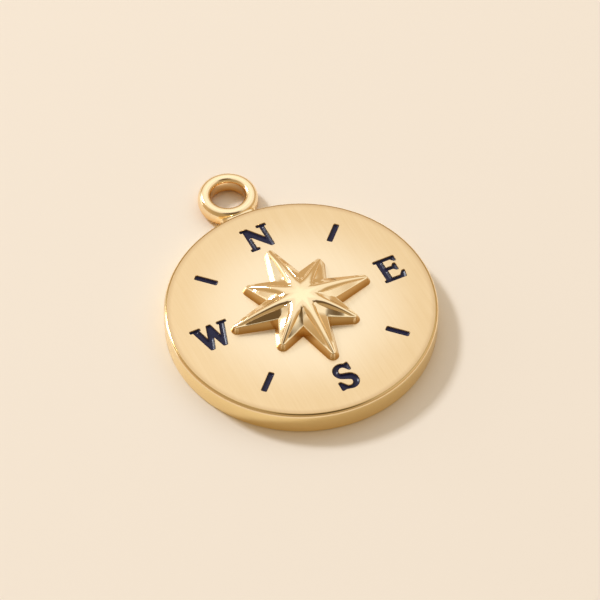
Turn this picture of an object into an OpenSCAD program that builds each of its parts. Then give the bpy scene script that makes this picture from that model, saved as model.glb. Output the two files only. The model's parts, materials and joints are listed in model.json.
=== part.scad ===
// Compass pendant: a round satin disc with a loop at its top edge, a raised star of
// eight rays on its face, and engraved compass letters and ticks filled with enamel.
// Millimetres. The origin is the centre of the disc's flat back, +Z points out of the
// face and +Y points to the loop, which is north on the compass.

/* [Disc] */
// Diameter of the disc
disc_d = 18; // [17:0.5:20]
// Thickness of the disc
disc_t = 1.7; // [1.5:0.1:2.2]
// Radius of the rounded edge round the face
face_edge_r = 0.24; // [0.14:0.02:0.3]
// Radius of the rounded edge round the back
back_edge_r = 0.12; // [0.08:0.02:0.2]

/* [Loop] */
// Outside diameter of the loop
loop_d = 4.15; // [4:0.05:4.4]
// Diameter of the hole that a jump ring passes through
hole_d = 2.32; // [2.2:0.02:2.4]
// Height of the loop, from its back to its front
loop_h = 1.28; // [1.26:0.02:1.5]
// Gap between the loop and the disc, which the solder fills
loop_gap = 0.25; // [0.1:0.01:0.3]
// Height of the loop's back above the disc's back
loop_lift = 0.02; // [0:0.01:0.2]
// Radius of the solder fillets between the loop and the disc
fillet_r = 0.4; // [0.3:0.05:0.5]
// Height of the solder between the loop and the disc
solder_h = 0.9; // [0.6:0.05:1]

/* [Star] */
// Reach of the four long rays, from the centre
long_reach = 4.9; // [4.5:0.05:5]
// Reach of the four short rays, from the centre
short_reach = 3.85; // [3.5:0.05:4]
// Distance of the notches between the rays from the centre
notch_reach = 2.3; // [2.2:0.02:2.5]
// Radius of the rounded tips of the rays
tip_r = 0.22; // [0.16:0.02:0.3]
// Height of the star at its centre
peak_h = 1.36; // [1.2:0.02:1.6]
// Height of the star's rim in the notches
notch_h = 0.72; // [0.6:0.02:0.85]
// Height of the star's rim at the tips
tip_h = 0.46; // [0.4:0.02:0.55]
// How far the star's walls lean out from the rim to the foot
draft = 0.14; // [0.04:0.02:0.2]

/* [Letters and ticks] */
// Height of the capital letters
letter_h = 1.96; // [1.8:0.02:2.1]
// Distance of the letters' outer edges from the centre
letter_edge = 7.5; // [7.3:0.05:7.6]
// How far E and W stand above the line through the centre
side_lift = 0.2; // [0:0.02:0.3]
// Length of a tick
tick_len = 1.54; // [1.3:0.02:1.7]
// Width of a tick
tick_w = 0.34; // [0.28:0.02:0.4]
// Distance of the ticks from the centre
tick_reach = 6.62; // [6.4:0.02:6.8]
// Depth of the engraving
recess_depth = 0.3; // [0.2:0.02:0.4]
// How far the enamel lies below the face
enamel_sink = 0.07; // [0.04:0.01:0.1]

/* [Hidden] */

gold = [0.93, 0.76, 0.47];
polished_gold = [0.95, 0.80, 0.52];
navy = [0.13, 0.14, 0.30];

disc_r = disc_d / 2;
mid_z = disc_t / 2;

// The loop's hole is reamed a little wider than the rounded wall leaves it, so that the
// hole has a short straight land.
loop_r = loop_d / 2;
hole_r = hole_d / 2;
ream = 0.02;
loop_y = disc_r + loop_gap + loop_r;
loop_z = loop_lift + loop_h / 2;
wall_w = loop_r - hole_r + ream;
wall_r = wall_w / 2;

// Clearance between the enamel and the walls of its recess
enamel_gap = 0.01;
// How far a cutter stands proud of the face that it cuts
proud = 0.5;
// Radius of the corners that the engraving tool leaves
corner_r = 0.06;
// Sides of the arc at one such corner
corner_steps = 3;
// A bend of the outline under this angle is part of a curve and isn't rounded
smooth_bend = 25;

ray_count = 8;
ray_step = 360 / ray_count;
half_step = ray_step / 2;

function polar(r, a) = [r * cos(a), r * sin(a)];
function turned(p, a) = [p[0] * cos(a) - p[1] * sin(a), p[0] * sin(a) + p[1] * cos(a)];
function joined(lists) = [for (list = lists) each list];
function arc(centre, r, from, to, steps) =
    [for (i = [0:steps]) centre + polar(r, from + (to - from) * i / steps)];

// Turn of an outline at corner b, signed, in degrees
function bend(a, b, c) =
    let (u = b - a, v = c - b)
    atan2(u[0] * v[1] - u[1] * v[0], u[0] * v[0] + u[1] * v[1]);

// Corner b as an arc of radius r that touches both sides, or b itself on a curve
function rounded_corner(a, b, c, r) =
    let (
        turn = bend(a, b, c),
        room = 0.45 * min(norm(b - a), norm(c - b)),
        reach = min(r * tan(abs(turn) / 2), room),
        start = b + (a - b) / norm(a - b) * reach,
        end = b + (c - b) / norm(c - b) * reach
    )
    abs(turn) < smooth_bend ? [b] : [
        for (i = [0:corner_steps])
            let (t = i / corner_steps)
            (1 - t) * (1 - t) * start + 2 * t * (1 - t) * b + t * t * end
    ];

function rounded(points, r) =
    let (n = len(points))
    [for (i = [0:n - 1]) each rounded_corner(points[(i + n - 1) % n], points[i], points[(i + 1) % n], r)];

// An outline with every side moved to its right by gap: a clockwise outline shrinks and
// an anticlockwise one grows.
function moved_right(points, gap) =
    let (n = len(points))
    [for (i = [0:n - 1])
        let (
            b = points[i],
            u = (b - points[(i + n - 1) % n]) / norm(b - points[(i + n - 1) % n]),
            v = (points[(i + 1) % n] - b) / norm(points[(i + 1) % n] - b),
            side = [u[1], -u[0]] + [v[1], -v[0]]
        )
        b + side * gap / (1 + u * v)];

// The letters are drawn clockwise about their own centres, with slab serifs. Their
// widths are worked out from the letter height.
cap = letter_h / 2;
serif_t = 0.095 * letter_h;
serif_w = 0.095 * letter_h;
thick = 0.2 * letter_h;
thin = 0.14 * letter_h;

function letter_n() =
    let (
        left = -0.38 * letter_h,
        right = 0.39 * letter_h,
        foot_left = left + thin,
        stem_right = right - thin,
        crotch = 0.1 * letter_h
    )
    [
        [left - serif_w, cap], [foot_left + 0.02 * letter_h, cap],
        [stem_right, -crotch], [stem_right, cap - serif_t],
        [stem_right - 0.11 * letter_h, cap - serif_t], [stem_right - 0.11 * letter_h, cap],
        [right + serif_w, cap], [right + serif_w, cap - serif_t],
        [right, cap - serif_t], [right, -cap],
        [stem_right + 0.02 * letter_h, -cap], [foot_left, cap - 0.36 * letter_h],
        [foot_left, serif_t - cap], [foot_left + serif_w, serif_t - cap],
        [foot_left + serif_w, -cap], [left - 0.8 * serif_w, -cap],
        [left - 0.8 * serif_w, serif_t - cap], [left, serif_t - cap],
        [left, cap - serif_t], [left - serif_w, cap - serif_t]
    ];

function letter_e() =
    let (
        left = -0.34 * letter_h,
        stem = left + thick,
        arm = 0.34 * letter_h,
        bar = 0.115 * letter_h,
        middle = 0.03 * letter_h,
        tongue = 0.245 * letter_h
    )
    [
        [left - serif_w, cap], [arm, cap],
        [arm, 0.27 * letter_h], [arm - 0.07 * letter_h, 0.27 * letter_h],
        [arm - 0.18 * letter_h, cap - bar], [stem, cap - bar],
        [stem, middle + bar / 2], [tongue - 0.15 * letter_h, middle + bar / 2],
        [tongue - 0.075 * letter_h, middle + 0.15 * letter_h], [tongue, middle + 0.15 * letter_h],
        [tongue, middle - 0.15 * letter_h], [tongue - 0.07 * letter_h, middle - 0.15 * letter_h],
        [tongue - 0.15 * letter_h, middle - bar / 2], [stem, middle - bar / 2],
        [stem, bar - cap], [arm - 0.16 * letter_h, bar - cap],
        [arm - 0.02 * letter_h, -0.22 * letter_h], [arm + 0.07 * letter_h, -0.22 * letter_h],
        [arm + 0.01 * letter_h, -cap], [left - 0.8 * serif_w, -cap],
        [left - 0.8 * serif_w, serif_t - cap], [left, serif_t - cap],
        [left, cap - serif_t], [left - serif_w, cap - serif_t]
    ];

function letter_w() =
    let (
        left = -0.56 * letter_h,
        right = 0.55 * letter_h,
        foot_left = -0.305 * letter_h,
        foot_right = 0.15 * letter_h,
        foot_w = 0.13 * letter_h,
        apex = -0.05 * letter_h,
        crotch = -0.07 * letter_h
    )
    [
        [left - serif_w, cap], [left + thick + 0.7 * serif_w, cap],
        [left + thick + 0.7 * serif_w, cap - serif_t], [left + thick, cap - serif_t],
        [-0.215 * letter_h, crotch], [apex, cap],
        [apex + 0.14 * letter_h, cap], [0.24 * letter_h, crotch],
        [right - thin - 0.02 * letter_h, cap - serif_t], [right - thin - serif_w, cap - serif_t],
        [right - thin - serif_w, cap], [right + serif_w, cap],
        [right + serif_w, cap - serif_t], [right, cap - serif_t],
        [foot_right + foot_w, -cap], [foot_right, -cap],
        [0, 0], [foot_left + foot_w, -cap],
        [foot_left, -cap], [left, cap - serif_t],
        [left - serif_w, cap - serif_t]
    ];

// The S is two bowls of arcs: each bowl's outer arc ends in the diagonal spine, and its
// counter turns more tightly where it meets the spine.
function letter_s() =
    let (
        upper = [-0.025, 0.225] * letter_h,
        lower = [0.04, -0.215] * letter_h,
        upper_r = 0.305 * letter_h,
        lower_r = 0.315 * letter_h,
        upper_counter = [0, 0.225] * letter_h,
        lower_counter = [-0.01, -0.245] * letter_h,
        counter_r = 0.155 * letter_h,
        turn_r = 0.09 * letter_h,
        turn_shift = [counter_r - turn_r, 0],
        serif_x = 0.29 * letter_h,
        tail_x = -0.35 * letter_h
    )
    joined([
        [[serif_x, 0.51 * letter_h], [serif_x, 0.2 * letter_h], [serif_x - 0.07 * letter_h, 0.19 * letter_h]],
        arc(upper_counter, counter_r, 30, 180, 12),
        arc(upper_counter - turn_shift, turn_r, 190, 246, 4),
        arc(lower, lower_r, 70, -112, 16),
        [[tail_x + 0.15 * letter_h, -0.48 * letter_h], [tail_x, -0.51 * letter_h]],
        [[tail_x, -0.17 * letter_h], [tail_x + 0.08 * letter_h, -0.16 * letter_h]],
        arc(lower_counter, counter_r, -150, 0, 12),
        arc(lower_counter + turn_shift, turn_r, 10, 66, 4),
        arc(upper, upper_r, 250, 68, 16),
        [[serif_x - 0.14 * letter_h, 0.48 * letter_h]]
    ]);

function tick() =
    let (x = tick_len / 2, y = tick_w / 2)
    [[-x, y], [x, y], [x, -y], [-x, -y]];

// Each mark has its outline, where it stands and how far it is turned
function highest(points, i) = max([for (p = points) p[i]]);
function lowest(points, i) = min([for (p = points) p[i]]);
mark_north = [letter_n(), [0, letter_edge - highest(letter_n(), 1)], 0];
mark_east = [letter_e(), [letter_edge - highest(letter_e(), 0), side_lift], 0];
mark_south = [letter_s(), [0, -letter_edge - lowest(letter_s(), 1)], 0];
mark_west = [letter_w(), [-letter_edge - lowest(letter_w(), 0), side_lift], 0];
function mark_tick(a) = [tick(), polar(tick_reach, a), a];
marks = [
    mark_north, mark_east, mark_south, mark_west,
    mark_tick(45), mark_tick(-45), mark_tick(-135), mark_tick(135)
];

module mark_outline(mark, gap) {
    translate(mark[1])
        rotate(mark[2])
            polygon(rounded(moved_right(mark[0], gap), corner_r));
}

module mark_recess(mark) {
    translate([0, 0, disc_t - recess_depth])
        linear_extrude(height = recess_depth + proud)
            mark_outline(mark, 0);
}

module mark_enamel(mark) {
    translate([0, 0, disc_t - recess_depth])
        linear_extrude(height = recess_depth - enamel_sink)
            mark_outline(mark, enamel_gap);
}

module disc_section() {
    translate([0, back_edge_r])
        square([disc_r, disc_t - face_edge_r - back_edge_r]);
    square([disc_r - back_edge_r, mid_z]);
    square([disc_r - face_edge_r, disc_t]);
    translate([disc_r - face_edge_r, disc_t - face_edge_r])
        circle(r = face_edge_r, $fn = 48);
    translate([disc_r - back_edge_r, back_edge_r])
        circle(r = back_edge_r, $fn = 48);
}

module disc() {
    rotate_extrude($fn = 180)
        disc_section();
}

module loop_ring() {
    straight = loop_h / 2 - wall_r;
    translate([0, loop_y, loop_z])
        rotate_extrude($fn = 96)
            translate([loop_r - wall_r, 0]) {
                translate([-wall_r, -straight])
                    square([wall_w, 2 * straight]);
                for (side = [-1, 1])
                    translate([0, side * straight])
                        circle(r = wall_r, $fn = 48);
            }
}

// The solder bridges the loop and the disc. Its flanks are arcs that run into the loop at
// one end and into the disc at the other.
module solder() {
    bite = 0.02;
    from_disc = disc_r + fillet_r;
    from_loop = loop_r + fillet_r;
    flank_y = (from_disc * from_disc - from_loop * from_loop + loop_y * loop_y) / (2 * loop_y);
    flank_x = sqrt(from_disc * from_disc - flank_y * flank_y);
    disc_end = [flank_x, flank_y] * disc_r / from_disc;
    loop_end = [0, loop_y] + [flank_x, flank_y - loop_y] * loop_r / from_loop;
    half = [
        disc_end - [0, fillet_r], disc_end,
        loop_end, loop_end + [0, fillet_r / 2]
    ];
    other_half = [for (i = [len(half) - 1:-1:0]) [-half[i][0], half[i][1]]];
    translate([0, 0, loop_z - solder_h / 2])
        linear_extrude(height = solder_h)
            difference() {
                polygon(concat(half, other_half));
                for (side = [-1, 1])
                    translate([side * flank_x, flank_y])
                        circle(r = fillet_r + bite, $fn = 48);
            }
}

module disc_with_loop() {
    color(gold)
        difference() {
            union() {
                disc();
                loop_ring();
                solder();
            }
            translate([0, loop_y, -proud])
                cylinder(h = disc_t + 2 * proud, r = hole_r, $fn = 96);
            for (mark = marks)
                mark_recess(mark);
        }
}

// Half the outline of a ray that lies along +X: the rounded tip, the straight flank and
// the notch. tip_steps and flank_steps are the sides of each stretch.
tip_steps = 3;
flank_steps = 3;

function reach_of(ray) = ray % 2 == 0 ? long_reach : short_reach;

function half_ray(reach) =
    let (
        centre = [reach - tip_r, 0],
        notch = polar(notch_reach, half_step),
        run = notch - centre,
        lean = atan2(run[1], run[0]) - acos(tip_r / norm(run)),
        touch = centre + polar(tip_r, lean)
    )
    joined([
        arc(centre, tip_r, 0, lean, tip_steps),
        [for (i = [1:flank_steps]) touch + (notch - touch) * i / flank_steps]
    ]);

// The other half of a ray, from its notch to just short of its tip
function mirrored_half(points) =
    [for (i = [len(points) - 2:-1:1]) [points[i][0], -points[i][1]]];

star_outline = joined([
    for (ray = [0:ray_count - 1])
        let (
            next = (ray + 1) % ray_count,
            here = half_ray(reach_of(ray)),
            there = mirrored_half(half_ray(reach_of(next)))
        )
        joined([
            [for (p = here) turned(p, ray * ray_step)],
            [for (p = there) turned(p, (ray + 1) * ray_step)]
        ])
]);

// Half the width of a ray at distance x along it, out to the valley or to the flank
function half_width(reach, x) =
    let (
        half = half_ray(reach),
        touch = half[tip_steps],
        notch = half[len(half) - 1],
        past_centre = x - reach + tip_r
    )
    x <= notch[0] ? x * tan(half_step)
        : x <= touch[0] ? touch[1] + (notch[1] - touch[1]) * (touch[0] - x) / (touch[0] - notch[0])
        : sqrt(max(tip_r * tip_r - past_centre * past_centre, 0));

// The ridge of a ray curves down from the peak to the tip, and the valley between two
// rays runs down from the peak to the notch.
ridge_power = 1.8;
valley_power = 1.5;
function ridge_height(reach, x) = peak_h - (peak_h - tip_h) * pow(min(x / reach, 1), ridge_power);
function valley_height(r) = peak_h - (peak_h - notch_h) * pow(r / notch_reach, valley_power);

function rim_height(reach, x) =
    let (notch_x = notch_reach * cos(half_step))
    x <= notch_x ? valley_height(x / cos(half_step))
        : notch_h + (tip_h - notch_h) * (x - notch_x) / (reach - notch_x);

// Between ridge and rim a ray is a flat facet, with a round spine along the ridge that
// narrows towards the tip.
spine_w = 0.24;
function spine_fall(u, c) = (sqrt(u * u + c * c) - c) / (sqrt(1 + c * c) - c);

function star_height(p) =
    let (
        ray = round(atan2(p[1], p[0]) / ray_step),
        reach = reach_of(abs(ray)),
        local = turned(p, -ray * ray_step),
        x = local[0],
        width = max(half_width(reach, x), 0.001),
        spine = spine_w * (1 - 0.5 * x / reach) / width,
        rim = rim_height(reach, x)
    )
    rim + (ridge_height(reach, x) - rim) * (1 - spine_fall(min(abs(local[1]) / width, 1), spine));

// The star is a stack of outlines: its foot, its rim, and rings that shrink to the peak
rim_drop = 0.05;
rim_step = 0.985;
star_rings = [1, rim_step, 0.9, 0.78, 0.65, 0.53, 0.42, 0.32, 0.22, 0.12];

module star() {
    n = len(star_outline);
    rows = len(star_rings);
    foot = [for (p = moved_right(star_outline, draft)) [p[0], p[1], 0]];
    rings = [
        for (k = [0:rows - 1])
            let (drop = k == 0 ? rim_drop : 0)
            [for (p = star_outline)
                let (q = p * star_rings[k])
                [q[0], q[1], star_height(q) - drop]]
    ];
    stack = concat(foot, joined(rings));
    points = concat(stack, [[0, 0, peak_h], [0, 0, 0]]);
    peak = len(stack);
    base = peak + 1;
    walls = [
        for (k = [0:rows - 1], i = [0:n - 1])
            let (
                j = (i + 1) % n,
                a = k * n + i,
                b = k * n + j,
                c = (k + 1) * n + j,
                d = (k + 1) * n + i
            )
            each [[a, c, b], [a, d, c]]
    ];
    cap_faces = [for (i = [0:n - 1]) [rows * n + i, peak, rows * n + (i + 1) % n]];
    base_faces = [for (i = [0:n - 1]) [i, (i + 1) % n, base]];
    color(polished_gold)
        translate([0, 0, disc_t])
            polyhedron(points = points, faces = concat(walls, cap_faces, base_faces));
}

module enamel_north() {
    color(navy)
        mark_enamel(mark_north);
}

module enamel_east() {
    color(navy)
        mark_enamel(mark_east);
}

module enamel_south() {
    color(navy)
        mark_enamel(mark_south);
}

module enamel_west() {
    color(navy)
        mark_enamel(mark_west);
}

module enamel_tick_ne() {
    color(navy)
        mark_enamel(mark_tick(45));
}

module enamel_tick_se() {
    color(navy)
        mark_enamel(mark_tick(-45));
}

module enamel_tick_sw() {
    color(navy)
        mark_enamel(mark_tick(-135));
}

module enamel_tick_nw() {
    color(navy)
        mark_enamel(mark_tick(135));
}

disc_with_loop();
star();
enamel_north();
enamel_east();
enamel_south();
enamel_west();
enamel_tick_ne();
enamel_tick_se();
enamel_tick_sw();
enamel_tick_nw();
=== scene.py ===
"""Compass pendant: its visible pieces, their finishes and the studio that lights them.

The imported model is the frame. Pieces are modelled in millimetres and brought to metres as
their meshes are made. +Z points out of the face, +Y to the loop, and the floor is z = 0.
"""

import sys
import json
import logging
import math
from dataclasses import dataclass
from enum import Enum
from typing import Any, Iterable

import bmesh
import bpy
from bmesh.types import BMEdge, BMesh, BMFace, BMVert
from bpy.types import Material, Node, NodeSocket, NodeTree, Object
from mathutils import Matrix, Vector


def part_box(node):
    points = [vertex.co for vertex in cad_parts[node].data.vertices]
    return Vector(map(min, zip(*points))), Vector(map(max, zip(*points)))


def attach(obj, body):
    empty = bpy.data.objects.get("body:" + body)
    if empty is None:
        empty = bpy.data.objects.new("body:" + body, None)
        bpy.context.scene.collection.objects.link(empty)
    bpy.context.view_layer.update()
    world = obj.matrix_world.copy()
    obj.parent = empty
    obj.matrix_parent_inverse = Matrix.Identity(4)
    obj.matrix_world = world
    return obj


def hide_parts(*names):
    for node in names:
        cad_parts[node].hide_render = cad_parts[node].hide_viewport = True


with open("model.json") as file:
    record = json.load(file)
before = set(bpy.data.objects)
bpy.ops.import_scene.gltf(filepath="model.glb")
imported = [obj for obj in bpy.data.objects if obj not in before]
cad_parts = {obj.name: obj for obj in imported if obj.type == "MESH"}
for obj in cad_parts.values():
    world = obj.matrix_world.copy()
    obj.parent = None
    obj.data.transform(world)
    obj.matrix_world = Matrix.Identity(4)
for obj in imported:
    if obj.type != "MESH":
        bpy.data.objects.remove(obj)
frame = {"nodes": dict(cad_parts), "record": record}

Pair = tuple[float, float]

LOG = logging.getLogger("compass_pendant")

MM = 0.001
BODY = "root"
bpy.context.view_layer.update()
MERGE = 1e-5  # millimetres within which corners are merged
NEAR = 1e-4  # millimetres that still count as one place or height
UP = Vector((0, 0, 1))

# How far the pieces stay inside their solids, in millimetres
STAR_MARGIN = 0.01
ENAMEL_MARGIN = 0.02
LOOP_MARGIN = 0.02

# Places of a Mix node's sockets, because those for numbers and for colours share their names
SHARE = 0
FIRST_NUMBER = 2
SECOND_NUMBER = 3
FIRST_COLOUR = 6
SECOND_COLOUR = 7
MIXED_COLOUR = 2


class Mark(Enum):
    """The engraved marks, by the node of the enamel in each."""

    NORTH = "enamel_north"
    EAST = "enamel_east"
    SOUTH = "enamel_south"
    WEST = "enamel_west"
    TICK_NE = "enamel_tick_ne"
    TICK_SE = "enamel_tick_se"
    TICK_SW = "enamel_tick_sw"
    TICK_NW = "enamel_tick_nw"


def linear(colour: str) -> tuple[float, float, float, float]:
    """Turns an sRGB hex colour to linear light.

    Args:
        colour: Six hex digits after a hash.

    Returns:
        Red, green, blue and an alpha of 1.
    """
    parts = [int(colour[i : i + 2], 16) / 255 for i in (1, 3, 5)]
    return (*[p / 12.92 if p <= 0.04045 else ((p + 0.055) / 1.055) ** 2.4 for p in parts], 1.0)


def smooth_step(low: float, high: float, x: float) -> float:
    """Rises smoothly from 0 at low to 1 at high."""
    t = min(max((x - low) / (high - low), 0.0), 1.0)
    return t * t * (3 - 2 * t)


def per_metre(size_mm: float) -> float:
    """Gives a pattern's scale, in repeats a metre, from the size of one repeat."""
    return 1 / (size_mm * MM)


def add_node(
    tree: NodeTree,
    kind: str,
    settings: dict[str, Any] | None = None,
    values: dict[str | int, Any] | None = None,
    links: dict[str | int, NodeSocket] | None = None,
) -> Node:
    """Adds a node with its settings, values and links.

    Args:
        tree: The node tree that it goes in.
        kind: The node's type, without its prefix.
        settings: Properties of the node, by name.
        values: Numbers and colours for its inputs, by the input's name or place.
        links: Outputs of other nodes for its inputs, by the input's name or place.

    Returns:
        The new node.
    """
    node = tree.nodes.new("ShaderNode" + kind)
    for name, value in (settings or {}).items():
        setattr(node, name, value)
    for key, value in (values or {}).items():
        node.inputs[key].default_value = value
    for key, output in (links or {}).items():
        tree.links.new(output, node.inputs[key])
    return node


def between(limits_mm: Pair, first: float = 0.0, last: float = 1.0) -> dict[str | int, Any]:
    """Gives a fade's values: its results at two limits, in either order, given in millimetres."""
    return {1: limits_mm[0] * MM, 2: limits_mm[1] * MM, 3: first, 4: last}


@dataclass(frozen=True)
class Finish:
    """A finish: what a surface is made of and how it was worked.

    Attributes:
        name: The material's name.
    """

    name: str

    def surface(self, tree: NodeTree, place: NodeSocket) -> Node:
        """Adds the finish's own nodes.

        Args:
            tree: The material's node tree.
            place: The position on the piece, in metres.

        Returns:
            The shader node.
        """
        raise NotImplementedError

    def material(self) -> Material:
        """Makes the material, or gives the one made before.

        Returns:
            The material.
        """
        if self.name in bpy.data.materials:
            return bpy.data.materials[self.name]
        made = bpy.data.materials.new(self.name)
        made.use_nodes = True
        tree = made.node_tree
        tree.nodes.clear()
        place = add_node(tree, "TexCoord").outputs["Object"]
        shader = self.surface(tree, place)
        add_node(tree, "OutputMaterial", links={"Surface": shader.outputs[0]})
        return made


@dataclass(frozen=True)
class BrushedGoldPlate(Finish):
    """Gold plate on brass, brushed one way with an abrasive belt.

    The lines run north and south. They spread a highlight across themselves, and each is
    a little lighter or darker than the next. Round the star a paler colour is painted on: a
    painted glow for the light that the polished star throws onto the face. Along the rim a
    darker colour is painted on: a painted shade for the dark band that the rounded edge mirrors.

    Attributes:
        gold: The plate's colour.
        worn: Its colour where the brushing has left it duller.
        pale: The painted glow round the star.
        rim: The painted shade along the rim.
        painted_glow_mm: Distances from the centre between which the painted glow fades.
        painted_glow_share: Share of the painted glow nearest the centre.
        painted_rim_shade_mm: Distances from the centre between which the painted rim shade grows.
        line_mm: Width of a brushed line, coarser than a real one so that it shows.
        line_length_mm: Length of a line.
        cloud_mm: Size of the broad clouds in the tone.
        cloud_share: Share of the clouds in the tone, against the lines.
        roughness: Mean roughness.
        roughness_spread: How far the roughness goes each way.
        tones: The tone's usual ends, at which the roughness has its own.
        depth_mm: Depth of the lines.
    """

    gold: str = "#EED5AE"
    worn: str = "#DDC090"
    pale: str = "#FAECD2"
    rim: str = "#CFAF84"
    painted_glow_mm: Pair = (3.6, 8.2)
    painted_glow_share: float = 0.6
    painted_rim_shade_mm: Pair = (8.42, 8.92)
    line_mm: float = 0.11
    line_length_mm: float = 4.0
    cloud_mm: float = 3.5
    cloud_share: float = 0.3
    roughness: float = 0.36
    roughness_spread: float = 0.05
    tones: Pair = (0.3, 0.7)
    depth_mm: float = 0.0012

    def surface(self, tree: NodeTree, place: NodeSocket) -> Node:
        """Adds streaks that are long north and south and narrow across.

        Args:
            tree: The material's node tree.
            place: The position on the piece, in metres.

        Returns:
            The shader node.
        """
        across, along = per_metre(self.line_mm), per_metre(self.line_length_mm)
        drawn = add_node(
            tree, "VectorMath", {"operation": "MULTIPLY"}, {1: (across, along, across)}, {0: place}
        )
        streaks = add_node(
            tree,
            "TexNoise",
            values={"Scale": 1.0, "Detail": 4.0, "Roughness": 0.65},
            links={"Vector": drawn.outputs[0]},
        )
        clouds = add_node(
            tree,
            "TexNoise",
            values={"Scale": per_metre(self.cloud_mm), "Detail": 2.0, "Roughness": 0.5},
            links={"Vector": place},
        )
        tone = add_node(
            tree,
            "Mix",
            {"data_type": "FLOAT"},
            {SHARE: self.cloud_share},
            {FIRST_NUMBER: streaks.outputs["Fac"], SECOND_NUMBER: clouds.outputs["Fac"]},
        )
        colour = add_node(
            tree,
            "Mix",
            {"data_type": "RGBA"},
            {FIRST_COLOUR: linear(self.worn), SECOND_COLOUR: linear(self.gold)},
            {SHARE: tone.outputs[0]},
        )
        flat = add_node(
            tree, "VectorMath", {"operation": "MULTIPLY"}, {1: (1, 1, 0)}, {0: place}
        )
        reach = add_node(
            tree, "VectorMath", {"operation": "LENGTH"}, links={0: flat.outputs[0]}
        )
        # Painted glow round the star, then painted shade along the rim
        for tint, values in (
            (self.pale, between(self.painted_glow_mm, self.painted_glow_share, 0.0)),
            (self.rim, between(self.painted_rim_shade_mm)),
        ):
            share = add_node(
                tree,
                "MapRange",
                {"interpolation_type": "SMOOTHSTEP"},
                values,
                {0: reach.outputs["Value"]},
            )
            colour = add_node(
                tree,
                "Mix",
                {"data_type": "RGBA"},
                {SECOND_COLOUR: linear(tint)},
                {SHARE: share.outputs[0], FIRST_COLOUR: colour.outputs[MIXED_COLOUR]},
            )
        dull, shiny = self.roughness + self.roughness_spread, self.roughness - self.roughness_spread
        rough = add_node(
            tree,
            "MapRange",
            values={1: self.tones[0], 2: self.tones[1], 3: dull, 4: shiny},
            links={0: tone.outputs[0]},
        )
        bump = add_node(
            tree,
            "Bump",
            values={"Strength": 1.0, "Distance": self.depth_mm * MM},
            links={"Height": streaks.outputs["Fac"]},
        )
        return add_node(
            tree,
            "BsdfPrincipled",
            values={"Metallic": 1.0},
            links={
                "Base Color": colour.outputs[MIXED_COLOUR],
                "Roughness": rough.outputs[0],
                "Normal": bump.outputs[0],
            },
        )


@dataclass(frozen=True)
class PolishedGoldPlate(Finish):
    """Gold plate on cast brass, polished by hand with a cloth wheel.

    It mirrors the studio, but the wheel has left faint waves and hairlines. Between two
    heights its colour fades into a painted shade, a darker tone painted on where shade falls.

    Attributes:
        gold: The plate's colour.
        painted_shade: The painted shade, a darker tone painted on where shade falls.
        painted_shade_mm: Heights between which the painted shade fades, from full shade to plain.
        roughness: Mean roughness.
        roughness_spread: How far the roughness goes below and above it.
        tones: The hairlines' usual ends, at which the roughness has its own.
        wave_mm: Size of the waves.
        wave_depth_mm: Depth of the waves.
        hairline_mm: Spacing of the hairlines.
    """

    gold: str = "#FCE5BC"
    painted_shade: str = "#CDA567"
    painted_shade_mm: Pair = (-2.0, -1.0)
    roughness: float = 0.13
    roughness_spread: Pair = (0.02, 0.03)
    tones: Pair = (0.35, 0.75)
    wave_mm: float = 0.9
    wave_depth_mm: float = 0.004
    hairline_mm: float = 0.12

    def surface(self, tree: NodeTree, place: NodeSocket) -> Node:
        """Adds waves to the surface and hairlines to its gloss.

        Args:
            tree: The material's node tree.
            place: The position on the piece, in metres.

        Returns:
            The shader node.
        """
        waves = add_node(
            tree,
            "TexNoise",
            values={"Scale": per_metre(self.wave_mm), "Detail": 1.5, "Roughness": 0.4},
            links={"Vector": place},
        )
        hairlines = add_node(
            tree,
            "TexNoise",
            values={"Scale": per_metre(self.hairline_mm), "Detail": 3.0, "Roughness": 0.7},
            links={"Vector": place},
        )
        shiny = self.roughness - self.roughness_spread[0]
        dull = self.roughness + self.roughness_spread[1]
        rough = add_node(
            tree,
            "MapRange",
            values={1: self.tones[0], 2: self.tones[1], 3: shiny, 4: dull},
            links={0: hairlines.outputs["Fac"]},
        )
        bump = add_node(
            tree,
            "Bump",
            values={"Strength": 1.0, "Distance": self.wave_depth_mm * MM},
            links={"Height": waves.outputs["Fac"]},
        )
        # Painted shade by height, fading into the plain gold
        height = add_node(tree, "SeparateXYZ", links={0: place})
        plain = add_node(
            tree,
            "MapRange",
            {"interpolation_type": "SMOOTHSTEP"},
            between(self.painted_shade_mm),
            {0: height.outputs["Z"]},
        )
        colour = add_node(
            tree,
            "Mix",
            {"data_type": "RGBA"},
            {FIRST_COLOUR: linear(self.painted_shade), SECOND_COLOUR: linear(self.gold)},
            {SHARE: plain.outputs[0]},
        )
        return add_node(
            tree,
            "BsdfPrincipled",
            values={"Metallic": 1.0},
            links={
                "Base Color": colour.outputs[MIXED_COLOUR],
                "Roughness": rough.outputs[0],
                "Normal": bump.outputs[0],
            },
        )


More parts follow.
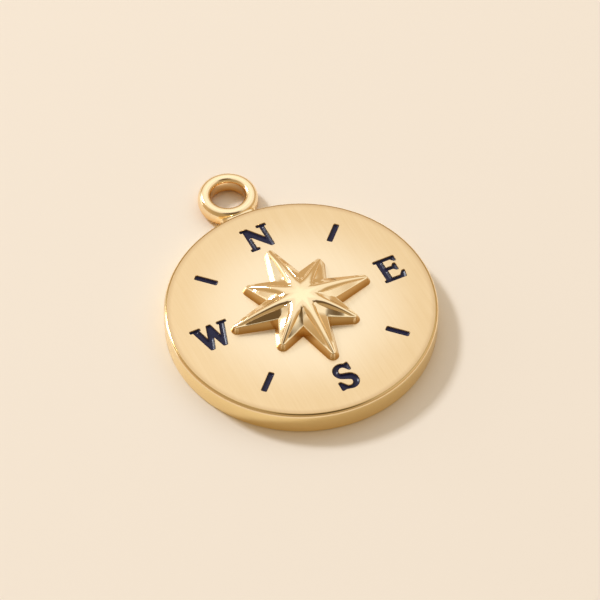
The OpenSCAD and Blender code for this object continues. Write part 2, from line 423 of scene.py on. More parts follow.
@dataclass(frozen=True)
class VitreousEnamel(Finish):
    """Navy enamel, fired in the engraving and stoned back: glass over a dark, mottled body.

    Attributes:
        body: The enamel's colour.
        cloud: Its colour where it is thinner and lighter.
        speck_mm: Size of the mottling.
        depth_mm: Unevenness of its top.
        roughness: Roughness of its top.
        specular: Strength of its gloss.
    """

    body: str = "#080715"
    cloud: str = "#1F1E4E"
    speck_mm: float = 0.25
    depth_mm: float = 0.006
    roughness: float = 0.25
    specular: float = 0.25

    def surface(self, tree: NodeTree, place: NodeSocket) -> Node:
        """Adds mottled colour and a faintly uneven glossy top.

        Args:
            tree: The material's node tree.
            place: The position on the piece, in metres.

        Returns:
            The shader node.
        """
        mottling = add_node(
            tree,
            "TexNoise",
            values={"Scale": per_metre(self.speck_mm), "Detail": 3.0, "Roughness": 0.6},
            links={"Vector": place},
        )
        colour = add_node(
            tree,
            "Mix",
            {"data_type": "RGBA"},
            {FIRST_COLOUR: linear(self.body), SECOND_COLOUR: linear(self.cloud)},
            {SHARE: mottling.outputs["Fac"]},
        )
        bump = add_node(
            tree,
            "Bump",
            values={"Strength": 1.0, "Distance": self.depth_mm * MM},
            links={"Height": mottling.outputs["Fac"]},
        )
        return add_node(
            tree,
            "BsdfPrincipled",
            values={"Roughness": self.roughness, "Specular IOR Level": self.specular},
            links={"Base Color": colour.outputs[MIXED_COLOUR], "Normal": bump.outputs[0]},
        )


@dataclass(frozen=True)
class PaintedBoard(Finish):
    """A board painted matt cream, which the pendant lies on.

    Attributes:
        paint: The paint's colour.
        grain_mm: Size of the roller's grain.
        depth_mm: Depth of the grain.
        strength: Strength of the grain.
        roughness: Roughness of the paint.
        specular: Strength of its sheen.
    """

    paint: str = "#F2EADF"
    grain_mm: float = 0.6
    depth_mm: float = 0.01
    strength: float = 0.2
    roughness: float = 0.9
    specular: float = 0.2

    def surface(self, tree: NodeTree, place: NodeSocket) -> Node:
        """Adds a faint roller grain to matt paint.

        Args:
            tree: The material's node tree.
            place: The position on the piece, in metres.

        Returns:
            The shader node.
        """
        grain = add_node(
            tree,
            "TexNoise",
            values={"Scale": per_metre(self.grain_mm), "Detail": 3.0},
            links={"Vector": place},
        )
        bump = add_node(
            tree,
            "Bump",
            values={"Strength": self.strength, "Distance": self.depth_mm * MM},
            links={"Height": grain.outputs["Fac"]},
        )
        return add_node(
            tree,
            "BsdfPrincipled",
            values={
                "Base Color": linear(self.paint),
                "Roughness": self.roughness,
                "Specular IOR Level": self.specular,
            },
            links={"Normal": bump.outputs[0]},
        )


# Brushed face with a painted glow round the star and a painted shade along the rim
BRUSHED_FACE = BrushedGoldPlate("gold_plate_brushed_painted_light")
POLISHED = PolishedGoldPlate("gold_plate_polished")
# Painted shade on the top of the rounded edge: the dark band that it mirrors from the room
RIM_PLATE = PolishedGoldPlate("gold_plate_rim_painted_shade", painted_shade="#C0A066", painted_shade_mm=(1.69, 1.64))
# Painted shade at the foot of the star's walls, darkening the crevice
CAST_STAR = PolishedGoldPlate("gold_plate_cast_painted_shade", roughness=0.09, painted_shade_mm=(1.72, 2.2))
# Painted warm shade low on the loop, for the orange light bounced inside it
LOOP_PLATE = PolishedGoldPlate("gold_plate_loop_painted_shade", painted_shade="#F2C06C", painted_shade_mm=(0.15, 1.15))
SATIN_WALL = PolishedGoldPlate(
    "gold_plate_satin", gold="#FCE3A8", roughness=0.22, wave_depth_mm=0.002
)
ENAMEL = VitreousEnamel("navy_enamel_fired")
BOARD = PaintedBoard("cream_paint_rolled")


def box_mm(node: str) -> tuple[Vector, Vector]:
    """Gives a node's lowest and highest corners in millimetres."""
    low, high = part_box(node)
    return Vector(low) / MM, Vector(high) / MM


def piece_from(
    bm: BMesh, name: str, finishes: Iterable[Finish], node: str, crease_deg: float
) -> Object:
    """Turns a shape in millimetres into a dressed piece in metres.

    Args:
        bm: The shape, which is freed.
        name: The piece's name.
        finishes: Its finishes, in the order of its faces' material numbers.
        node: The node that the piece stands for.
        crease_deg: Edges that bend more than this stay sharp.

    Returns:
        The piece.
    """
    bmesh.ops.remove_doubles(bm, verts=bm.verts, dist=MERGE)
    bmesh.ops.recalc_face_normals(bm, faces=bm.faces)
    bmesh.ops.scale(bm, vec=(MM, MM, MM), verts=bm.verts)
    for face in bm.faces:
        face.smooth = True
    for edge in bm.edges:
        edge.smooth = edge.calc_face_angle(0.0) < math.radians(crease_deg)
    mesh = bpy.data.meshes.new(name)
    bm.to_mesh(mesh)
    bm.free()
    for finish in finishes:
        mesh.materials.append(finish.material())
    piece = bpy.data.objects.new(name, mesh)
    bpy.context.scene.collection.objects.link(piece)
    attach(piece, BODY)
    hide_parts(node)
    LOG.info("%s: %d faces", name, len(mesh.polygons))
    return piece


def shade_flat(piece: Object, height: float) -> None:
    """Shades what lies at one height as a plane, up to where the roundings start.

    Args:
        piece: The piece.
        height: The height in millimetres.
    """
    own = Vector((0, 0, 0))  # leaves a vertex its own normal
    verts = piece.data.vertices
    normals = [UP if abs(v.co.z / MM - height) < NEAR else own for v in verts]
    piece.data.normals_split_custom_set_from_vertices(normals)


def only(elements: Iterable[Any], kinds: type | tuple[type, ...]) -> list[Any]:
    """Picks the elements of the given kinds."""
    return [e for e in elements if isinstance(e, kinds)]


def grown(points: list[Vector], gap: float) -> list[Vector]:
    """Moves every side of a flat outline outwards.

    Args:
        points: The outline's corners, anticlockwise seen from above.
        gap: How far the sides move.

    Returns:
        The corners of the grown outline.
    """
    moved = []
    for before, here, after in zip(points[-1:] + points[:-1], points, points[1:] + points[:1]):
        start, end = (here - before).normalized(), (after - here).normalized()
        side = start.cross(UP) + end.cross(UP)
        moved.append(here + side * gap / (1 + start.dot(end)))
    return moved


def distance_to(corners: list[Vector], point: Vector) -> float:
    """Measures the distance of a point from a closed outline.

    Args:
        corners: The outline's corners.
        point: The point.

    Returns:
        The distance.
    """
    nearest = math.inf
    for start, end in zip(corners, corners[1:] + corners[:1]):
        run = end - start
        share = min(max((point - start).dot(run) / run.length_squared, 0), 1)
        nearest = min(nearest, (point - start - run * share).length)
    return nearest


def rounding(radius: float, steps: int) -> list[Pair]:
    """Cuts a quarter round, from level to upright, into steps.

    Args:
        radius: Its radius.
        steps: Number of steps.

    Returns:
        How far each step goes sideways and down.
    """
    turns = [math.pi / 2 * k / steps for k in range(steps + 1)]
    return [
        (radius * (math.sin(end) - math.sin(start)), radius * (math.cos(start) - math.cos(end)))
        for start, end in zip(turns, turns[1:])
    ]


def lower(bm: BMesh, face: BMFace, width: float, drop: float) -> None:
    """Insets a face by a width and lowers it by a drop."""
    bmesh.ops.inset_individual(bm, faces=[face], thickness=width, use_even_offset=True)
    bmesh.ops.translate(bm, vec=(0, 0, -drop), verts=face.verts)


def mark_outline(mark: Mark) -> list[Vector]:
    """Reads a mark's outline from the top of its enamel node.

    Args:
        mark: The mark.

    Returns:
        The outline's corners in millimetres, anticlockwise seen from above.
    """
    least_bend, least_up = math.radians(1), 0.9
    bm = bmesh.new()
    bm.from_mesh(frame["nodes"][mark.value].data)
    bmesh.ops.scale(bm, vec=(1 / MM,) * 3, verts=bm.verts)
    bmesh.ops.remove_doubles(bm, verts=bm.verts, dist=MERGE)
    bmesh.ops.dissolve_limit(bm, angle_limit=least_bend, verts=bm.verts, edges=bm.edges)
    bm.normal_update()
    upward = [f for f in bm.faces if f.normal.z > least_up]
    top = max(upward, key=lambda f: f.calc_center_median().z)
    outline = [v.co.copy() for v in top.verts]
    bm.free()
    return outline


@dataclass
class Disc:
    """The brushed disc with its rounded edge and the recesses of the marks.

    Attributes:
        radius: Radius of the disc.
        thickness: Thickness of the disc.
        outlines: The outline of each mark's enamel.
        face_edge: Radius of the rounding round the face.
        back_edge: Radius of the rounding round the back.
        rim_width: Width of the band of rim plate round the face.
        wall_width: Width of the band under it that is the disc's own wall.
        lip: Radius of the rounding along the recesses.
        gap: Gap between the enamel's outline and the recess wall.
        depth: Depth of the recesses.
        draft: How far the foot of a recess wall lies inside its top.
    """

    radius: float
    thickness: float
    outlines: list[list[Vector]]
    face_edge: float = 0.24
    back_edge: float = 0.12
    rim_width: float = 0.216
    wall_width: float = 0.48
    lip: float = 0.045
    gap: float = 0.01
    depth: float = 0.3
    draft: float = 0.004

    def blank(self) -> BMesh:
        """Turns the plain disc with its two rounded edges.

        Returns:
            The disc.
        """
        bm = bmesh.new()
        raised = Matrix.Translation((0, 0, self.thickness / 2))
        bmesh.ops.create_cone(
            bm, cap_ends=True, segments=288, radius1=self.radius, radius2=self.radius,
            depth=self.thickness, matrix=raised,
        )
        for level, width, steps in ((self.thickness, self.face_edge, 10), (0, self.back_edge, 5)):
            rim = [e for e in bm.edges if all(abs(v.co.z - level) < MERGE for v in e.verts)]
            bmesh.ops.bevel(
                bm, geom=rim, offset=width, offset_type="OFFSET", affect="EDGES", segments=steps,
                profile=0.5, material=-1,
            )
        return bm

    def sink(self, bm: BMesh, outline: list[Vector]) -> None:
        """Sinks the recess of one mark, with a rounded lip.

        Args:
            bm: The disc.
            outline: The outline of the mark's enamel.
        """
        mouth = grown(outline, self.gap + self.lip)
        floor = bm.faces.new([bm.verts.new((p.x, p.y, self.thickness)) for p in mouth])
        for width, drop in rounding(self.lip, steps=4):
            lower(bm, floor, width, drop)
        lower(bm, floor, self.draft, self.depth - self.lip)

    def build(self) -> Object:
        """Builds the disc.

        Returns:
            The piece.
        """
        bm = self.blank()
        top = max(bm.faces, key=lambda f: f.calc_center_median().z)
        bmesh.ops.delete(bm, geom=[top], context="FACES_ONLY")
        for outline in self.outlines:
            self.sink(bm, outline)
        mouths = [e for e in bm.edges if e.is_boundary]
        bmesh.ops.triangle_fill(bm, use_beauty=True, edges=mouths, normal=UP)
        brushed, rim, satin = 0, 1, 2
        for face in bm.faces:
            middle = face.calc_center_median()
            inwards = self.radius - middle.xy.length
            if middle.z > self.thickness - self.face_edge:
                face.material_index = brushed if inwards > self.rim_width else rim
            else:
                recess = inwards > self.wall_width and middle.z > MERGE
                face.material_index = brushed if recess else satin
        finishes = (BRUSHED_FACE, RIM_PLATE, SATIN_WALL)
        piece = piece_from(bm, "disc", finishes, "disc_with_loop", crease_deg=40)
        shade_flat(piece, self.thickness)
        return piece


@dataclass
class EnamelFill:
    """The enamel in one mark, which climbs a little where it wets the recess wall.

    Attributes:
        mark: The mark.
        outline: Outline of the enamel.
        bottom: Height of the recess floor.
        top: Height of the enamel's edge.
        sag: How far its middle lies below its edge.
        shore: Width of the climbing edge.
        overlap: How far it runs into the wall.
        cell: Size of the cells of its top.
        snap: How near a cut a corner has to be to count as on it.
    """

    mark: Mark
    outline: list[Vector]
    bottom: float
    top: float
    sag: float = 0.07
    shore: float = 0.17
    overlap: float = 0.014
    cell: float = 0.034
    snap: float = 0.002

    def build(self) -> Object:
        """Builds the fill.

        Returns:
            The piece.
        """
        bm = bmesh.new()
        corners = grown(self.outline, self.overlap)
        base = bm.faces.new([bm.verts.new((p.x, p.y, self.bottom)) for p in corners])
        made = bmesh.ops.extrude_face_region(bm, geom=[base], use_keep_orig=True)["geom"]
        top = only(made, BMFace)[0]
        bmesh.ops.translate(bm, vec=(0, 0, self.top - self.bottom), verts=top.verts)
        self.cut_top(bm, corners)
        sides = [p.xy for p in corners]
        for v in bm.verts:
            if v.co.z > self.bottom + MERGE:
                away = distance_to(sides, v.co.xy) - self.overlap
                left = 1 - min(max(away / self.shore, 0), 1)
                v.co.z -= self.sag * (1 - left**2)
        name = self.mark.value.replace("enamel_", "") + "_enamel"
        piece = piece_from(bm, name, (ENAMEL,), self.mark.value, crease_deg=50)
        shade_flat(piece, self.top - self.sag)
        return piece

    def cut_top(self, bm: BMesh, corners: list[Vector]) -> None:
        """Cuts the top into square cells, so that it can curve.

        Args:
            bm: The fill.
            corners: Outline of its top.
        """
        middle = (self.bottom + self.top) / 2
        for axis, across in enumerate((Vector((1, 0, 0)), Vector((0, 1, 0)))):
            low = min(p[axis] for p in corners)
            high = max(p[axis] for p in corners)
            cuts = math.ceil((high - low) / self.cell)
            for k in range(1, cuts):
                faces = [f for f in bm.faces if all(v.co.z > middle for v in f.verts)]
                edges = sorted({e for f in faces for e in f.edges}, key=lambda e: e.index)
                verts = sorted({v for f in faces for v in f.verts}, key=lambda v: v.index)
                geom, cut = faces + edges + verts, across * (low + (high - low) * k / cuts)
                bmesh.ops.bisect_plane(bm, geom=geom, dist=self.snap, plane_co=cut, plane_no=across)
                bm.verts.index_update()
                bm.edges.index_update()


@dataclass
class CompassStar:
    """The polished star: a smooth dome that runs out into eight round ribs.

    Flat facets fall from the ribs to the rim and meet in sharp valleys.

    Attributes:
        base: Height of the face that it stands on.
        peak: Height of its centre above its foot.
        long_reach: Reach of the long rays.
        short_reach: Reach of the short rays.
        notch: Distance of the notches from the centre.
        tip_radius: Radius of the rays' tips.
        notch_height: Height of the rim in the notches.
        tip_height: Height of the rim at the tips.
        draft: How far the foot stands out from the rim.
        dome: Distance from the centre at which the valleys start.
        dome_drop: How far the dome has fallen there.
        rib_tip: Half width of a rib at its tip.
        rib_share: Largest share of the ray's half width that a rib takes.
        rib_depth: Depth of a rib, in half widths.
        rib_run: Distance beyond the dome over which a rib comes to that depth.
        rib_bend: Sine of the slope of a rib's sides.
        groove: Depth of the groove along a rib's foot.
        rim_round: Radius of the rounded rim.
        rays: Number of rays.
        columns: Steps along a ray to the valleys' start, the notch, the tip and its end.
        rows: Steps across half a rib and across a facet.
    """

    base: float
    peak: float
    long_reach: float
    short_reach: float = 3.83
    notch: float = 2.3
    tip_radius: float = 0.22
    notch_height: float = 0.72
    tip_height: float = 0.46
    draft: float = 0.2
    dome: float = 1.1
    dome_drop: float = 0.15
    rib_tip: float = 0.16
    rib_share: float = 0.75
    rib_depth: float = 0.66
    rib_run: float = 0.7
    rib_bend: float = 0.9
    groove: float = 0.03
    rim_round: float = 0.06
    rays: int = 8
    columns: tuple[int, int, int, int] = (10, 10, 12, 6)
    rows: tuple[int, int] = (9, 6)

    @property
    def half_step(self) -> float:
        """Half the angle between two rays."""
        return math.pi / self.rays

    @property
    def notch_x(self) -> float:
        """Distance of a notch's rim from the centre, along the ray."""
        rounded = 1.4 * self.rim_round  # what the rounding takes off in a notch
        return (self.notch - rounded) * math.cos(self.half_step)

    @property
    def dome_x(self) -> float:
        """Distance along the ray at which the valleys start."""
        return self.dome * math.cos(self.half_step)

    def column(self, reach: float, index: int) -> Pair:
        """Gives a column's place along a ray and the ray's half width there.

        Args:
            reach: Reach of the ray.
            index: Number of the column, from the centre.

        Returns:
            Distance from the centre and half width.
        """
        spacing = 0.62  # exponent below 1, which brings the columns closer towards the tip
        dome, inner, outer, end = self.columns
        slope = math.tan(self.half_step)
        if index <= dome:
            x = self.dome_x * index / dome
            return x, x * slope
        index -= dome
        if index <= inner:
            x = self.dome_x + (self.notch_x - self.dome_x) * index / inner
            return x, x * slope
        index -= inner
        notch = Vector((self.notch_x, self.notch_x * slope))
        centre, radius = reach - self.tip_radius, self.tip_radius - self.rim_round
        run = Vector((self.notch_x - reach + self.tip_radius, notch.y))
        angle = math.atan2(run.y, run.x) - math.acos(radius / run.length)
        if index <= outer:
            touch = Vector((centre + radius * math.cos(angle), radius * math.sin(angle)))
            return tuple(notch.lerp(touch, (index / outer) ** spacing))
        left = angle * (1 - (index - outer) / end)
        return centre + radius * math.cos(left), radius * math.sin(left)

    def ridge(self, reach: float, x: float) -> float:
        """Height of a rib's crest above the foot."""
        end = reach - self.rim_round
        return self.peak - (self.peak - self.tip_height) * min(x / end, 1) ** 2

    def rim(self, reach: float, x: float) -> float:
        """Gives the height of the valley, or beyond the notch of the rim, above the foot.

        Args:
            reach: Reach of the ray.
            x: Distance along the ray.

        Returns:
            The height.
        """
        start = self.peak - self.dome_drop
        if x <= self.dome_x:
            return self.peak - self.dome_drop * (x / self.dome_x) ** 3
        if x <= self.notch_x:
            run = (x - self.dome_x) / (self.notch_x - self.dome_x)
            return start + (self.notch_height - start) * run
        run = (x - self.notch_x) / (reach - self.rim_round - self.notch_x)
        return self.notch_height + (self.tip_height - self.notch_height) * run

    def section(self, reach: float, x: float, width: float) -> list[Pair]:
        """Gives the section across half a ray.

        Args:
            reach: Reach of the ray.
            x: Distance along the ray.
            width: Half width of the ray there.

        Returns:
            Distance from the crest and height of each row, from the crest outwards.
        """
        taper_power, spacing = 1.15, 1.6  # exponents of a rib's taper and the facet rows' spacing
        bend_start, bend_run, least_bend = 0.3, 0.5, 0.01  # where the ribs' sides begin to bend
        room = 8 * self.groove  # free width or height that a full groove needs
        ridge, rim = self.ridge(reach, x), self.rim(reach, x)
        start = self.dome_x * math.tan(self.half_step)
        taper = max(1 - (x - self.dome_x) / (reach - self.dome_x), 0) ** taper_power
        rib = min(self.rib_tip + (start - self.rib_tip) * taper, self.rib_share * width)
        free = smooth_step(self.dome_x, self.dome_x + self.rib_run, x)
        first = self.ridge(reach, self.dome_x) - self.rim(reach, self.dome_x)
        depth = first + (self.rib_depth * rib - first) * free
        if x <= self.dome_x:
            rib, depth = width, ridge - rim
        depth = min(depth, ridge - rim)
        bend = self.rib_bend * smooth_step(bend_start, self.dome_x + bend_run, x) + least_bend
        groove = self.groove * smooth_step(0, room, min(width - rib, ridge - depth - rim))
        rows = []
        rib_rows, facet_rows = self.rows
        for row in range(rib_rows + 1):
            share = math.sin(math.pi / 2 * row / rib_rows)
            fall = (1 - math.sqrt(1 - (bend * share) ** 2)) / (1 - math.sqrt(1 - bend**2))
            rows.append((rib * share, ridge - (depth + groove) * fall))
        for row in range(1, facet_rows + 1):
            run = (row / facet_rows) ** spacing
            rows.append((rib + (width - rib) * run, ridge - depth + (rim - ridge + depth) * run))
        return rows

    def half_ray(self, bm: BMesh, reach: float) -> list[BMVert]:
        """Shapes half a ray along +X from a grid.

        Args:
            bm: The shape that it is added to.
            reach: Reach of the ray.

        Returns:
            Its vertices.
        """
        columns, rows = sum(self.columns), sum(self.rows)
        places = [self.column(reach, index) for index in range(columns + 1)]
        sections = [self.section(reach, x, width) for x, width in places]
        grid = bmesh.ops.create_grid(bm, x_segments=columns, y_segments=rows, size=0.5)
        for v in grid["verts"]:
            column, row = round((v.co.x + 0.5) * columns), round((v.co.y + 0.5) * rows)
            v.co = (places[column][0], *sections[column][row])
        return grid["verts"]

    def turn(self, bm: BMesh, ray: list[Any], steps: int) -> None:
        """Turns a ray about the centre, by so many times the angle between two rays."""
        matrix = Matrix.Rotation(2 * self.half_step * steps, 3, "Z")
        bmesh.ops.rotate(bm, matrix=matrix, verts=only(ray, BMVert))

    def build(self) -> Object:
        """Builds the star.

        Returns:
            The piece.
        """
        bm = bmesh.new()
        for first, reach in enumerate((self.long_reach, self.short_reach)):
            half = self.half_ray(bm, reach)
            half += dict.fromkeys(f for v in half for f in v.link_faces)
            other = bmesh.ops.duplicate(bm, geom=half)["geom"]
            bmesh.ops.scale(bm, vec=(1, -1, 1), verts=only(other, BMVert))
            bmesh.ops.reverse_faces(bm, faces=only(other, BMFace))
            ray = half + only(other, (BMVert, BMFace))
            self.turn(bm, ray, first)
            for steps in range(2, self.rays, 2):
                self.turn(bm, bmesh.ops.duplicate(bm, geom=ray)["geom"], steps)
        bmesh.ops.remove_doubles(bm, verts=bm.verts, dist=NEAR)
        self.add_walls(bm)
        bmesh.ops.translate(bm, vec=(0, 0, self.base), verts=bm.verts)
        return piece_from(bm, "compass_star", (CAST_STAR,), "star", crease_deg=14)

    def add_walls(self, bm: BMesh) -> None:
        """Rounds the rim, drops the walls to the foot and closes it.

        Args:
            bm: The star's upper surface.
        """
        rim = [e for e in bm.edges if e.is_boundary]
        for out, drop in rounding(self.rim_round, steps=4):
            rim = self.add_ring(bm, rim, out, drop)
        rim = self.add_ring(bm, rim, self.draft)
        bm.faces.new(ordered_ring({v for e in rim for v in e.verts}))

    def add_ring(
        self, bm: BMesh, rim: list[BMEdge], out: float, drop: float | None = None
    ) -> list[BMEdge]:
        """Adds a ring of faces round the rim.

        Args:
            bm: The star.
            rim: The rim's edges.
            out: How far the new rim lies outside the old one.
            drop: How far it lies below it, or None to put it at the foot.

        Returns:
            The new rim's edges.
        """
        made = bmesh.ops.extrude_edge_only(bm, edges=rim)["geom"]
        ring = ordered_ring(set(only(made, BMVert)))
        flat = grown([Vector((v.co.x, v.co.y, 0)) for v in ring], out)
        for v, place in zip(ring, flat):
            v.co = (place.x, place.y, 0 if drop is None else v.co.z - drop)
        return [e for e in only(made, BMEdge) if set(ring).issuperset(e.verts)]


def ordered_ring(verts: set[BMVert]) -> list[BMVert]:
    """Puts the vertices of a closed ring in order, anticlockwise seen from above.

    Args:
        verts: The vertices, each joined by an edge to two others.

    Returns:
        The vertices in order.
    """
    ring = [min(verts, key=lambda v: (v.co.x, v.co.y))]
    while True:
        near = [e.other_vert(ring[-1]) for e in ring[-1].link_edges]
        before = ring[-2:-1]
        options = [v for v in near if v in verts and v not in before]
        after = min(options, key=lambda v: v.co.y)
        if after is ring[0]:
            break
        ring.append(after)
    area = sum(a.co.x * b.co.y - b.co.x * a.co.y for a, b in zip(ring, ring[1:] + ring[:1]))
    return ring if area > 0 else ring[::-1]


@dataclass
class HangingLoop:
    """The thick round loop and the solder that joins it to the disc.

    Attributes:
        centre: Centre of the loop.
        hole_radius: Radius of its hole.
        radius: Its outside radius.
        height: Its height.
        disc_radius: Radius of the disc that it is soldered to.
        outer_squareness: Exponent of its section's outer half: 2 is an ellipse.
        inner_squareness: Exponent of the inner half, which is squarer.
        grip_deg: Half angles of the solder's ring on the loop, round it and round its section.
        foot: Half width and half height of the solder's ring on the disc.
        pull: How strongly the solder starts and ends along the metal that it wets.
    """

    centre: Vector
    hole_radius: float
    radius: float
    height: float
    disc_radius: float
    outer_squareness: float = 2.3
    inner_squareness: float = 3.2
    grip_deg: Pair = (40, 52)
    foot: Pair = (1.55, 0.56)
    pull: float = 0.55

    @property
    def wall(self) -> float:
        """Half the width of the loop's wall."""
        return (self.radius - self.hole_radius) / 2

    def on_loop(self, turn: float, tilt: float) -> Vector:
        """Gives a point on the loop, whose section is an ellipse made squarer.

        Args:
            turn: Angle round the loop from the side that faces the disc.
            tilt: Angle round the section from its outermost point, upwards.

        Returns:
            The point.
        """
        c, h = math.cos(tilt), math.sin(tilt)
        power = 2 / (self.outer_squareness if c > 0 else self.inner_squareness)
        out = self.radius - self.wall + self.wall * math.copysign(abs(c) ** power, c)
        rise = self.height / 2 * math.copysign(abs(h) ** power, h)
        return self.centre + Vector((out * math.sin(turn), -out * math.cos(turn), rise))

    def solder_start(self, angle: float, size: float) -> Vector:
        """Gives a point on the loop, on the solder's ring grown to a size."""
        turn, tilt = (math.radians(half) * size for half in self.grip_deg)
        return self.on_loop(turn * math.cos(angle), tilt * math.sin(angle))

    def solder_end(self, angle: float, size: float) -> Vector:
        """Gives a point on the disc's wall, on the solder's ring grown to a size."""
        x, z = self.foot[0] * size * math.cos(angle), self.foot[1] * size * math.sin(angle)
        return Vector((x, math.sqrt(self.disc_radius**2 - x * x), self.centre.z + z))

    def on_solder(self, angle: float, t: float) -> Vector:
        """Gives a point on the solder.

        Args:
            angle: Angle round the solder.
            t: Share of the way from the loop to the disc.

        Returns:
            The point.
        """
        grow = 0.01  # small change of size that shows which way the metal runs
        start, end = self.solder_start(angle, 1), self.solder_end(angle, 1)
        leave = (self.solder_start(angle, 1 - grow) - start) / grow * self.pull
        arrive = (self.solder_end(angle, 1 + grow) - end) / grow * self.pull
        return (
            (2 * t**3 - 3 * t**2 + 1) * start
            + (t**3 - 2 * t**2 + t) * leave
            + (3 * t**2 - 2 * t**3) * end
            + (t**3 - t**2) * arrive
        )

    def dress(self, bm: BMesh, name: str, finish: Finish) -> Object:
        """Makes a shape one of the loop's pieces."""
        return piece_from(bm, name, (finish,), "disc_with_loop", crease_deg=60)

    def build_ring(self) -> Object:
        """Spins the loop from its section.

        Returns:
            The piece.
        """
        bm = bmesh.new()
        section = bmesh.ops.create_circle(bm, segments=48, radius=1)["verts"]
        for v in section:
            v.co = self.on_loop(math.pi / 2, math.atan2(v.co.y, v.co.x))
        bmesh.ops.spin(
            bm, geom=section + list(bm.edges), cent=self.centre, axis=UP, angle=2 * math.pi,
            steps=144, use_merge=True,
        )
        return self.dress(bm, "hanging_loop", LOOP_PLATE)

    def build_solder(self) -> Object:
        """Draws the solder from a ring on the loop to a ring on the disc, waisted between.

        Returns:
            The piece.
        """
        rows = 12  # steps from the loop to the disc
        bm = bmesh.new()
        ring = bmesh.ops.create_circle(bm, segments=64, radius=1)["verts"]
        angles = {v: math.atan2(v.co.y, v.co.x) for v in ring}
        for v in ring:
            v.co = self.on_solder(angles[v], 0)
        edges = list(bm.edges)
        for row in range(1, rows + 1):
            made = bmesh.ops.extrude_edge_only(bm, edges=edges)["geom"]
            fresh = only(made, BMVert)
            edges = [e for e in only(made, BMEdge) if all(v in fresh for v in e.verts)]
            angles = {
                v: next(angles[o] for e in v.link_edges if (o := e.other_vert(v)) in angles)
                for v in fresh
            }
            for v in fresh:
                v.co = self.on_solder(angles[v], row / rows)
        bmesh.ops.holes_fill(bm, edges=[e for e in bm.edges if e.is_boundary], sides=0)
        return self.dress(bm, "loop_solder", POLISHED)


@dataclass(frozen=True)
class Lamp:
    """A rectangular soft light that faces the object.

    Attributes:
        name: Its name.
        turn: Degrees to the right of straight back from the camera.
        height: Degrees above the floor.
        away: Distance in metres.
        size: Width and height in metres.
        power: Power in watts.
        colour: Colour of its light.
    """

    name: str
    turn: float
    height: float
    away: float
    size: Pair
    power: float
    colour: str


@dataclass(frozen=True)
class Patch:
    """A soft patch of the room, which the metal mirrors.

    Attributes:
        turn: Degrees to the right of straight back from the camera.
        height: Degrees above the floor.
        fade: Cosines of the angles from its middle at which it starts and is full.
        colour: Its colour.
        rise: Sines of the heights between which it grows, or None where it isn't cut off.
    """

    turn: float
    height: float
    fade: Pair
    colour: str
    rise: Pair | None = None


LAMPS = (
    Lamp("key", -51, 39, away=1.2, size=(0.20, 0.20), power=8.6, colour="#F4F9FF"),
    Lamp("wall", -68, 9, away=1.6, size=(0.8, 0.45), power=1.1, colour="#F8FBFF"),
)
PATCHES = (
    Patch(180, 35, (0.25, 0.9), "#9D8969"),  # dimmer round the camera
    Patch(20, 60, (0.5, 0.9), "#E2DFD9", rise=(0.32, 0.62)),  # pale overhead
    Patch(1, 57, (0.966, 0.998), "#F4F1EC"),  # glow behind the object
    Patch(-56, 18, (0.955, 0.99), "#D2D1CE"),  # pale to its left
    Patch(153, 71, (0.905, 0.975), "#5C4C36"),  # dark above the camera
)


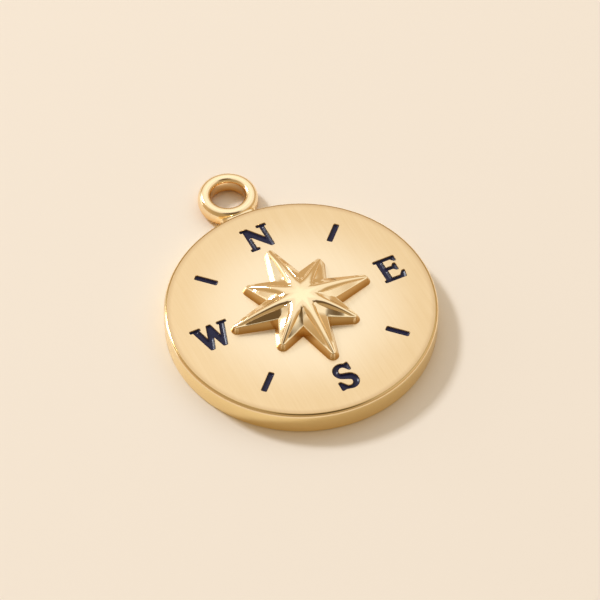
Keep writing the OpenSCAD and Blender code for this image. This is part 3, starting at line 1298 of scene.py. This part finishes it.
@dataclass
class Studio:
    """The floor, the lights and the camera.

    Attributes:
        azimuth: Camera's azimuth in degrees: 0 looks along +Y.
        elevation: Camera's height above the floor in degrees.
        distance: Camera's distance from the origin.
        field: Width of the picture in the plane of the origin.
        shift: Camera's shift to the right and upwards, in picture widths.
        sensor: Width of the camera's sensor.
        clip: Nearest and farthest distance that it sees, in metres.
        board: Half the side of the board, in metres.
        room: Colour of the room where it has no patch.
        brightness: Brightness of the room.
    """

    azimuth: float = -26.2
    elevation: float = 51.42
    distance: float = 162.0
    field: float = 39.58
    shift: Pair = (-0.0019, 0.0360)
    sensor: float = 36.0
    clip: Pair = (0.01, 10.0)
    board: float = 0.6
    room: str = "#B39975"
    brightness: float = 1.36

    def direction(self, turn: float, height: float) -> Vector:
        """Gives a direction from the object, seen in the picture.

        Args:
            turn: Degrees to the right of straight back from the camera.
            height: Degrees above the floor.

        Returns:
            The unit vector.
        """
        a, h = math.radians(-self.azimuth + turn), math.radians(height)
        return Vector((math.sin(a) * math.cos(h), math.cos(a) * math.cos(h), math.sin(h)))

    def add_camera(self) -> None:
        """Adds the camera at the photograph's angle."""
        data = bpy.data.cameras.new("camera")
        data.sensor_fit = "HORIZONTAL"
        data.sensor_width = self.sensor
        data.lens = self.sensor * self.distance / self.field
        data.shift_x, data.shift_y = self.shift
        data.clip_start, data.clip_end = self.clip
        camera = bpy.data.objects.new("camera", data)
        back = self.direction(180, self.elevation)
        camera.location = back * self.distance * MM
        camera.rotation_mode = "QUATERNION"
        camera.rotation_quaternion = (-back).to_track_quat("-Z", "Y")
        bpy.context.scene.collection.objects.link(camera)
        bpy.context.scene.camera = camera

    def add_floor(self) -> None:
        """Lays the painted board."""
        bm = bmesh.new()
        bmesh.ops.create_grid(bm, x_segments=1, y_segments=1, size=self.board)
        mesh = bpy.data.meshes.new("board")
        bm.to_mesh(mesh)
        bm.free()
        mesh.materials.append(BOARD.material())
        board = bpy.data.objects.new("board", mesh)
        bpy.context.scene.collection.objects.link(board)

    def add_lamp(self, lamp: Lamp) -> None:
        """Adds a lamp.

        Args:
            lamp: The lamp.
        """
        data = bpy.data.lights.new(lamp.name, "AREA")
        data.shape = "RECTANGLE"
        data.size, data.size_y = lamp.size
        data.energy = lamp.power
        data.color = linear(lamp.colour)[:3]
        light = bpy.data.objects.new(lamp.name, data)
        towards = self.direction(lamp.turn, lamp.height)
        light.location = towards * lamp.away
        light.rotation_mode = "QUATERNION"
        light.rotation_quaternion = towards.to_track_quat("Z", "Y")
        bpy.context.scene.collection.objects.link(light)

    def add_world(self) -> None:
        """Adds the room, with each patch laid over the ones before."""
        world = bpy.data.worlds.new("room")
        bpy.context.scene.world = world
        world.use_nodes = True
        tree = world.node_tree
        tree.nodes.clear()
        smooth = {"interpolation_type": "SMOOTHSTEP"}
        way = add_node(tree, "TexCoord").outputs["Generated"]
        height = add_node(tree, "SeparateXYZ", links={0: way})
        colour = None
        for patch in PATCHES:
            near = add_node(
                tree,
                "VectorMath",
                {"operation": "DOT_PRODUCT"},
                {1: self.direction(patch.turn, patch.height)},
                {0: way},
            )
            limits = {1: patch.fade[0], 2: patch.fade[1]}
            share = add_node(tree, "MapRange", smooth, limits, {0: near.outputs["Value"]})
            if patch.rise is not None:
                limits = {1: patch.rise[0], 2: patch.rise[1]}
                high = add_node(tree, "MapRange", smooth, limits, {0: height.outputs["Z"]})
                both = {0: share.outputs[0], 1: high.outputs[0]}
                share = add_node(tree, "Math", {"operation": "MULTIPLY"}, links=both)
            values, links = {SECOND_COLOUR: linear(patch.colour)}, {SHARE: share.outputs[0]}
            if colour is None:
                values[FIRST_COLOUR] = linear(self.room)
            else:
                links[FIRST_COLOUR] = colour.outputs[MIXED_COLOUR]
            colour = add_node(tree, "Mix", {"data_type": "RGBA"}, values, links)
        sky = add_node(
            tree,
            "Background",
            values={"Strength": self.brightness},
            links={"Color": colour.outputs[MIXED_COLOUR]},
        )
        add_node(tree, "OutputWorld", links={"Surface": sky.outputs[0]})

    def build(self) -> None:
        """Builds the studio."""
        self.add_floor()
        self.add_world()
        for lamp in LAMPS:
            self.add_lamp(lamp)
        self.add_camera()
        bpy.context.scene.view_settings.view_transform = "Standard"


def main() -> None:
    """Builds the pendant and the studio in order."""
    logging.basicConfig(level=logging.INFO, format="%(name)s: %(message)s", stream=sys.stdout)
    outlines = {mark: mark_outline(mark) for mark in Mark}
    disc_high = box_mm("disc_with_loop")[1]
    star_high = box_mm("star")[1]
    enamel_low, enamel_high = box_mm(Mark.NORTH.value)
    hole = next(m for m in frame["record"]["mounts"] if m["name"] == "loop_hole")
    radius, thickness = disc_high.x, disc_high.z

    Disc(radius, thickness, list(outlines.values())).build()
    for mark, outline in outlines.items():
        EnamelFill(mark, outline, enamel_low.z, enamel_high.z - ENAMEL_MARGIN).build()
    reach = star_high.x - CompassStar.draft - STAR_MARGIN
    CompassStar(thickness, star_high.z - thickness, reach).build()
    centre = Vector(hole["pos_m"]) / MM
    height = 2 * (centre.z - LOOP_MARGIN)
    loop = HangingLoop(centre, hole["dims"]["r_mm"], disc_high.y - centre.y, height, radius)
    loop.build_ring()
    loop.build_solder()
    Studio().build()


if __name__ == "__main__":
    main()
